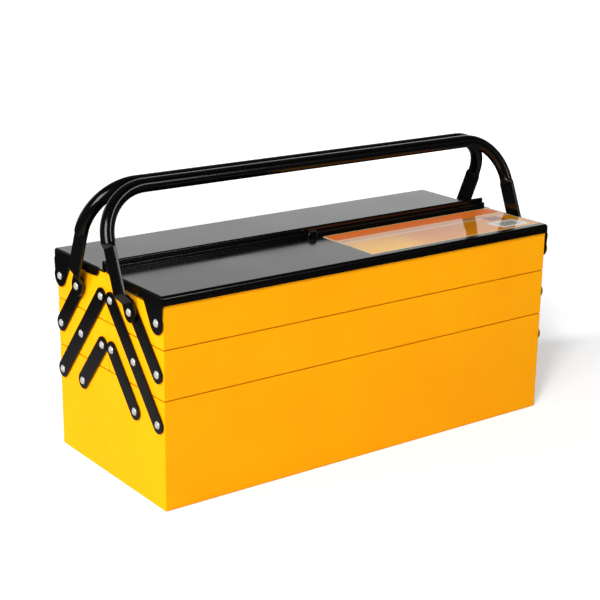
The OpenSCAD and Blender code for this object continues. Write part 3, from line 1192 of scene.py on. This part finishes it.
@dataclass
class Handle(MeshPiece):
    """A bent tube handle whose legs are crushed flat, joggled inwards and rounded to an eye."""

    half: Half
    layout: Layout
    tube_d: float = 15.0
    tube_inset: float = 0.02
    reach: float = 126.0
    bend: float = 54.0
    bar_gap: float = 2.0
    leg_w: float = 22.0
    joggle: float = 7.5
    joggle_start: float = 9.0
    joggle_l: float = 11.0
    tube_offset: float = 0.3
    crush_l: float = 4.0
    crush_more: Flat = (0.3, 1.0)
    crush_soft: float = 0.14
    corner: float = 1.35
    eye_angles: tuple[int, ...] = (3, 6, 10, 16, 24, 34, 46, 60, 75, 90)
    eye_edge: float = 0.45
    eye_full: float = 12.0
    bar_shares: Flat = (0.97, 0.5)
    joggle_steps: int = 12
    crush_steps: int = 14
    bend_steps: int = 24
    least_step: float = 0.5
    around: int = 40
    kind = "tube"
    crease = 30.0

    @staticmethod
    def _ramp(t: float, soft: float = 0.22) -> float:
        """A straight climb from 0 to 1 with rounded ends."""
        t = min(max(t, 0.0), 1.0)
        rise = 1 / (1 - soft)
        if t < soft:
            return rise * t * t / (2 * soft)
        if t > 1 - soft:
            return 1 - rise * (1 - t) * (1 - t) / (2 * soft)
        return rise * (t - soft / 2)

    def _stations(self) -> list[tuple[float, ...]]:
        """Centre line and section of the right half, from the eye to the middle of the bar.

        Returns:
            For each station its X, its height in the handle's plane, the direction of the
            section's thickness in degrees, half its width, half its thickness and the radius
            of its corners.
        """
        eye_x = self.layout.strap_out_x + EYE_GAP + LEG_T / 2
        leg_x = eye_x + self.joggle
        tube_x = leg_x + self.tube_offset
        radius, flat, wide, corner = self.tube_d / 2 - self.tube_inset, LEG_T / 2, self.leg_w / 2, self.corner
        stations = []
        for angle in self.eye_angles:
            turn = radians(angle)
            thick = flat * min(1.0, self.eye_edge + angle / self.eye_full)
            stations.append((eye_x, -wide * cos(turn), 0.0, wide * sin(turn), thick, corner))
        for share in turns(1, self.joggle_steps):
            x, height = eye_x + self.joggle * self._ramp(share), self.joggle_start + self.joggle_l * share
            stations.append((x, height, 0.0, wide, flat, corner))
        bend_start = self.reach - self.bend
        low, high = bend_start - self.crush_l - self.crush_more[0], bend_start + self.crush_more[1]
        for share in turns(1, self.crush_steps):
            blend = self._ramp(share, self.crush_soft)
            section = (side + (radius - side) * blend for side in (wide, flat, corner))
            stations.append((leg_x + (tube_x - leg_x) * blend, low + (high - low) * share, 0.0, *section))
        centre = tube_x - self.bend
        for angle in turns(90, self.bend_steps):
            turn = radians(angle)
            x, height = centre + self.bend * cos(turn), bend_start + self.bend * sin(turn)
            if height > high + self.least_step:
                stations.append((x, height, angle, radius, radius, radius))
        stations += [(centre * share, self.reach, 90.0, radius, radius, radius) for share in self.bar_shares]
        return stations

    def _section(self, station: tuple[float, ...]) -> list[Spot]:
        """Points of one section, in the handle's own frame."""
        x, height, angle, wide, thick, corner = station
        turn = radians(angle)
        radius = min(corner, wide, thick)
        points = []
        for k in range(self.around):
            a = WHOLE * (k + 0.5) / self.around
            across = copysign(wide - radius, cos(a)) + radius * cos(a)
            out = copysign(thick - radius, sin(a)) + radius * sin(a)
            points.append((x + out * cos(turn), across, height + out * sin(turn)))
        return points

    def shape(self) -> MeshWork:
        """The handle's skin, upright over the closed box with its bar beside the other one."""
        right = self._stations()
        left = [(-x, h, 180.0 - a, *section) for x, h, a, *section in reversed(right)]
        work = MeshWork()
        work.skin([work.ring(self._section(station)) for station in right + left])
        pin_y, pin_z = self.layout.pins_y[1], self.layout.pins_z[2]
        bar_y = self.tube_d / 2 + self.bar_gap / 2
        lean = asin((pin_y - bar_y) / self.reach)
        stand = Matrix.Translation((0, pin_y, pin_z)) @ Matrix.Rotation(lean, 4, "X")
        work.place(Matrix.Diagonal((1, self.half.value, 1, 1)) @ stand)
        return work


# ---- fittings on the front lid ----


@dataclass
class Staple(MeshPiece):
    """The bent wire staple for a padlock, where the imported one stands."""

    wire: float = 3.0
    width: float = 14.0
    foot: float = 0.3
    shoulder: float = 0.4
    foot_share: float = 0.6
    bow_steps: int = 20
    around: int = 18
    kind = "wire"

    def shape(self) -> MeshWork:
        """The staple's skin, from one foot over the bow to the other."""
        low, high = node_box(self.node)
        x, y = (low.x + high.x) / 2, (low.y + high.y) / 2
        r = self.wire / 2
        bow = self.width / 2 - r
        top = high.z - r - bow
        foot, shoulder = low.z + self.foot, top - self.shoulder
        leg = [(low.z, self.foot_share), (foot, 1.0), (shoulder, 1.0)]
        path = [(x + bow, z, 0.0, share) for z, share in leg]
        path += [(x + bow * cos(a), top + bow * sin(a), a, 1.0) for a in turns(pi, self.bow_steps)]
        path += [(x - bow, z, pi, share) for z, share in reversed(leg)]
        work = MeshWork()
        rings = []
        for px, pz, turn, share in path:
            ring = []
            for k in range(self.around):
                a = WHOLE * k / self.around
                out = r * share * cos(a)
                ring.append((px + out * cos(turn), y + r * share * sin(a), pz + out * sin(turn)))
            rings.append(work.ring(ring))
        work.skin(rings)
        return work


@dataclass
class Label(MeshPiece):
    """The printed film on the front lid, with round corners and a soft edge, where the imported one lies."""

    corner: float = 2.5
    corner_steps: int = 6
    edge: float = 0.12
    edge_share: float = 0.3
    kind = "film"
    slot = Slot.FILM

    def shape(self) -> MeshWork:
        """The film's skin."""
        low, high = node_box(self.node)
        soft = self.edge * self.edge_share
        work = MeshWork()
        rings = []
        for depth, z in ((0.0, low.z), (0.0, high.z - self.edge), (soft, high.z - soft), (self.edge, high.z)):
            ends = (low.x + depth, low.y + depth), (high.x - depth, high.y - depth)
            loop = rounded(*ends, self.corner - depth, self.corner_steps)
            rings.append(work.ring([(x, y, z) for x, y in loop]))
        work.skin(rings)
        return work


# ---- the whole box ----


@dataclass
class ToolBox:
    """Builds every piece of the box over its CAD node."""

    layout: Layout
    finishes: Finishes

    def boxes(self) -> None:
        """Builds the base box and the four trays. The top trays' inner walls are taller."""
        lay, yellow = self.layout, self.finishes.yellow
        low, high = node_box("base_box")
        SheetBox("base_box", "base", low, high, high.z).build(yellow)
        for half in Half:
            mid, top = f"{half.word}_mid_tray", f"{half.word}_top_tray"
            low, high = node_box(mid)
            high.z = lay.mid_rim
            SheetBox(mid, mid, low, high, lay.mid_rim).build(yellow)
            low, high = node_box(top)
            high.z = lay.top_rim
            SheetBox(top, top, low, high, lay.inner_wall, half.value).build(yellow)

    def straps(self) -> None:
        """Builds the twelve straps."""
        y, z = self.layout.pins_y, self.layout.pins_z
        kinds = {
            "long": ((y[2], z[0]), (y[1], z[1]), (y[0], z[2])),
            "lower": ((y[1], z[0]), (y[0], z[1])),
            "upper": ((y[2], z[1]), (y[1], z[2])),
        }
        for half in Half:
            for end in End:
                for kind, pins in kinds.items():
                    node = f"{half.word}_{kind}_link_{end.name.lower()}"
                    body = f"{half.word}_{kind}_links"
                    Strap(node, body, half, end, pins, self.layout).build(self.finishes.black)

    def rivets(self) -> None:
        """Builds the rivets, one mesh for each packed group."""
        lay = self.layout
        tree = RivetTree()
        y, z = lay.pins_y, lay.pins_z
        strap_out = lay.strap_out_x
        eye_out = strap_out + EYE_GAP + LEG_T
        groups: list[tuple[str, str, tuple[Half, ...], list[Flat], float]] = [
            ("base_rivets", "base", tuple(Half), [(y[1], z[0]), (y[2], z[0])], strap_out)
        ]
        for half in Half:
            word, one = half.word, (half,)
            groups += [
                (f"{word}_mid_rivets", f"{word}_mid_tray", one, [(pin, z[1]) for pin in y], strap_out),
                (f"{word}_top_rivets", f"{word}_top_tray", one, [(y[0], z[2])], strap_out),
                (f"{word}_handle_rivets", f"{word}_top_tray", one, [(y[1], z[2])], eye_out),
                (f"{word}_lid_rivets", f"{word}_top_tray", one, [(y[2], z[2])], lay.lid_end),
            ]
        for node, body, halves, spots, face in groups:
            places = [(half.value * py, pz) for half in halves for py, pz in spots]
            pins = [RivetPin(end, *place, face) for end in End for place in places]
            piece = tree.build(f"{node}_domed", pins, lay.end_x - TRAY_SHEET, self.finishes.steel)
            dress(piece, body, Slot.STEEL, node)

    def lids_and_handles(self) -> None:
        """Builds the lids, the staple, the label and the handles."""
        lay, black = self.layout, self.finishes.black
        Lid(Half.REAR, lay, edge_w=4.2, edge_h=10.0).build(black)
        Lid(Half.FRONT, lay, edge_w=3.2, edge_h=5.0).build(black)
        Staple("lock_staple", "front_lid").build(black)
        Label("lid_label", "front_lid").build(self.finishes.film)
        for half in Half:
            Handle(f"{half.word}_handle", f"{half.word}_handle", half, lay).build(black)

    def build(self) -> None:
        """Builds the whole box."""
        self.boxes()
        self.straps()
        self.rivets()
        self.lids_and_handles()


# ---- studio ----


@dataclass(frozen=True)
class StudioLamp:
    """A soft square lamp that looks at a point of the box."""

    name: str
    azimuth: float
    elevation: float
    size: float
    watts: float
    mirrored: bool = False
    distance: float = 5.0
    aim: Spot = (0.0, 0.0, 0.1)

    def build(self) -> None:
        """Hangs the lamp."""
        light = bpy.data.lights.new(self.name, "AREA")
        light.shape = "SQUARE"
        light.size = self.size
        light.energy = self.watts
        lamp = put(self.name, light)
        turn, rise = radians(self.azimuth), radians(self.elevation)
        away = Vector((sin(turn) * cos(rise), -cos(turn) * cos(rise), sin(rise)))
        lamp.location = Vector(self.aim) + away * self.distance
        lamp.rotation_euler = away.to_track_quat("Z", "Y").to_euler()
        lamp.visible_camera = False
        lamp.visible_glossy = self.mirrored


@dataclass(frozen=True)
class Studio:
    """Pale floor, white surroundings and soft lamps.

    The floor's size and drop are in millimetres. Its glow to the camera is full away from the
    box's shadow. Its ramps run with the distance in metres, those of the sky with a direction.
    """

    floor_radius: float = 9000.0
    floor_drop: float = 0.2
    floor_colour: float = 0.76
    shadow_centre: Spot = (0.1, 0.3, 0.0)
    glow: Ramp = Ramp(0.75, 1.5, 0.39, 1.0)
    paper: Ramp = Ramp(0.42, 0.85, 0.26, 0.03)
    ambient: float = 0.26
    sky_rise: Ramp = Ramp(0.15, 0.6, 1.18, 0.05)
    sky_behind: Ramp = Ramp(-0.25, 0.35, 0.06, 1.0)
    sky_aside: Ramp = Ramp(-0.5, -0.1, 0.08, 1.0)
    lamps: tuple[StudioLamp, ...] = (
        StudioLamp("key", azimuth=-52.0, elevation=42.0, size=0.6, watts=110.0),
        StudioLamp("gleam", azimuth=-58.0, elevation=32.0, size=2.4, watts=130.0, mirrored=True),
        StudioLamp("side", azimuth=-107.0, elevation=25.0, size=0.7, watts=142.0),
        StudioLamp("fill", azimuth=27.0, elevation=27.0, size=0.9, watts=17.0, mirrored=True),
    )

    def floor(self) -> None:
        """Lays the floor, which is white to the camera outside the box's shadow."""
        work = MeshWork()
        edge = circle((0, 0), self.floor_radius, 72)
        work.faces.append(work.ring([(x, y, -self.floor_drop) for x, y in edge]))
        material = bpy.data.materials.new("pale_floor")
        material.use_nodes = True
        draw = NodeSketch(material.node_tree)
        path = draw.add("ShaderNodeLightPath").outputs
        place = draw.place()

        def distance(centre: Spot) -> NodeSocket:
            """Distance of the place on the floor from a centre."""
            off = draw.add("ShaderNodeVectorMath", {0: place, 1: centre}, operation="SUBTRACT").outputs[0]
            return draw.add("ShaderNodeVectorMath", {0: off}, operation="LENGTH").outputs["Value"]

        whole = draw.map(distance(self.shadow_centre), self.glow)
        seen = draw.math("ADD", path["Is Camera Ray"], path["Is Transmission Ray"], clamp=True)
        glow = draw.add("ShaderNodeEmission", {"Color": WHITE, "Strength": draw.times(seen, whole)})
        # reflections see a paper that darkens away from the box, so that flat black faces stay black
        kept = draw.map(distance((0.0, 0.0, 0.0)), self.paper)
        share = draw.minus(1.0, draw.times(path["Is Glossy Ray"], draw.minus(1.0, kept)))
        tone = draw.times(share, self.floor_colour)
        grey = draw.add("ShaderNodeCombineXYZ", {0: tone, 1: tone, 2: tone}).outputs[0]
        paper = draw.add("ShaderNodeBsdfDiffuse", {"Color": grey})
        both = draw.add("ShaderNodeAddShader", {0: paper.outputs[0], 1: glow.outputs[0]})
        draw.add("ShaderNodeOutputMaterial", {"Surface": both.outputs[0]})
        floor = work.piece("studio_floor", material, MeshPiece.crease)

    def surroundings(self) -> None:
        """Sets the world: white to the camera, bright behind the box in reflections, even light elsewhere."""
        world = bpy.data.worlds.new("studio")
        bpy.context.scene.world = world
        world.use_nodes = True
        draw = NodeSketch(world.node_tree)
        path = draw.add("ShaderNodeLightPath").outputs
        way = draw.add("ShaderNodeTexCoord").outputs["Generated"]
        sky = draw.add("ShaderNodeSeparateXYZ", {0: way}).outputs
        low = draw.map(draw.math("ABSOLUTE", sky[2]), self.sky_rise)
        mirror = draw.times(low, draw.map(sky[1], self.sky_behind), draw.map(sky[0], self.sky_aside))
        strength = draw.plus(
            draw.times(path["Is Glossy Ray"], mirror),
            path["Is Camera Ray"],
            path["Is Transmission Ray"],
            draw.times(path["Is Diffuse Ray"], self.ambient),
        )
        glow = draw.add("ShaderNodeBackground", {"Color": WHITE, "Strength": strength})
        draw.add("ShaderNodeOutputWorld", {"Surface": glow.outputs[0]})

    def build(self) -> None:
        """Builds floor, surroundings and lamps."""
        self.floor()
        self.surroundings()
        for lamp in self.lamps:
            lamp.build()
        bpy.context.scene.view_settings.view_transform = "Standard"


@dataclass(frozen=True)
class PhotoCamera:
    """The camera at the photograph's viewing angle, with angles in radians and lengths in millimetres."""

    azimuth: float = -0.639418
    elevation: float = 0.2977513
    roll: float = 0.0137929
    distance: float = 1646.545
    aim: Spot = (-14.3512, 0.0, 155.9231)
    focal_px: float = 1430.486
    frame_px: float = 600.0
    sensor: float = 36.0
    clip_m: Flat = (0.05, 60.0)

    def build(self) -> None:
        """Makes the camera the scene's own."""
        az, el = self.azimuth, self.elevation
        back = Vector((sin(az) * cos(el), -cos(az) * cos(el), sin(el)))
        level = (-back).cross(Vector((0, 0, 1))).normalized()
        up = level.cross(-back)
        right = level * cos(self.roll) + up * sin(self.roll)
        top = up * cos(self.roll) - level * sin(self.roll)
        lens = bpy.data.cameras.new("photo_camera")
        lens.sensor_width = self.sensor
        lens.lens = self.focal_px / self.frame_px * self.sensor
        lens.clip_start, lens.clip_end = self.clip_m
        camera = put("photo_camera", lens)
        turn = Matrix((right, top, back)).transposed().to_4x4()
        camera.matrix_world = Matrix.Translation((Vector(self.aim) + back * self.distance) * MM) @ turn
        bpy.context.scene.camera = camera


def main() -> None:
    """Builds the scene."""
    logging.basicConfig(level=logging.INFO, format="%(message)s")
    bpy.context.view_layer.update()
    PhotoCamera().build()
    layout = Layout.from_frame()
    low, high = node_box("lid_label")
    finishes = Finishes.build(((low.x, low.y), (high.x, high.y)))
    ToolBox(layout, finishes).build()
    Studio().build()
    bpy.context.view_layer.update()


if __name__ == "__main__":
    main()
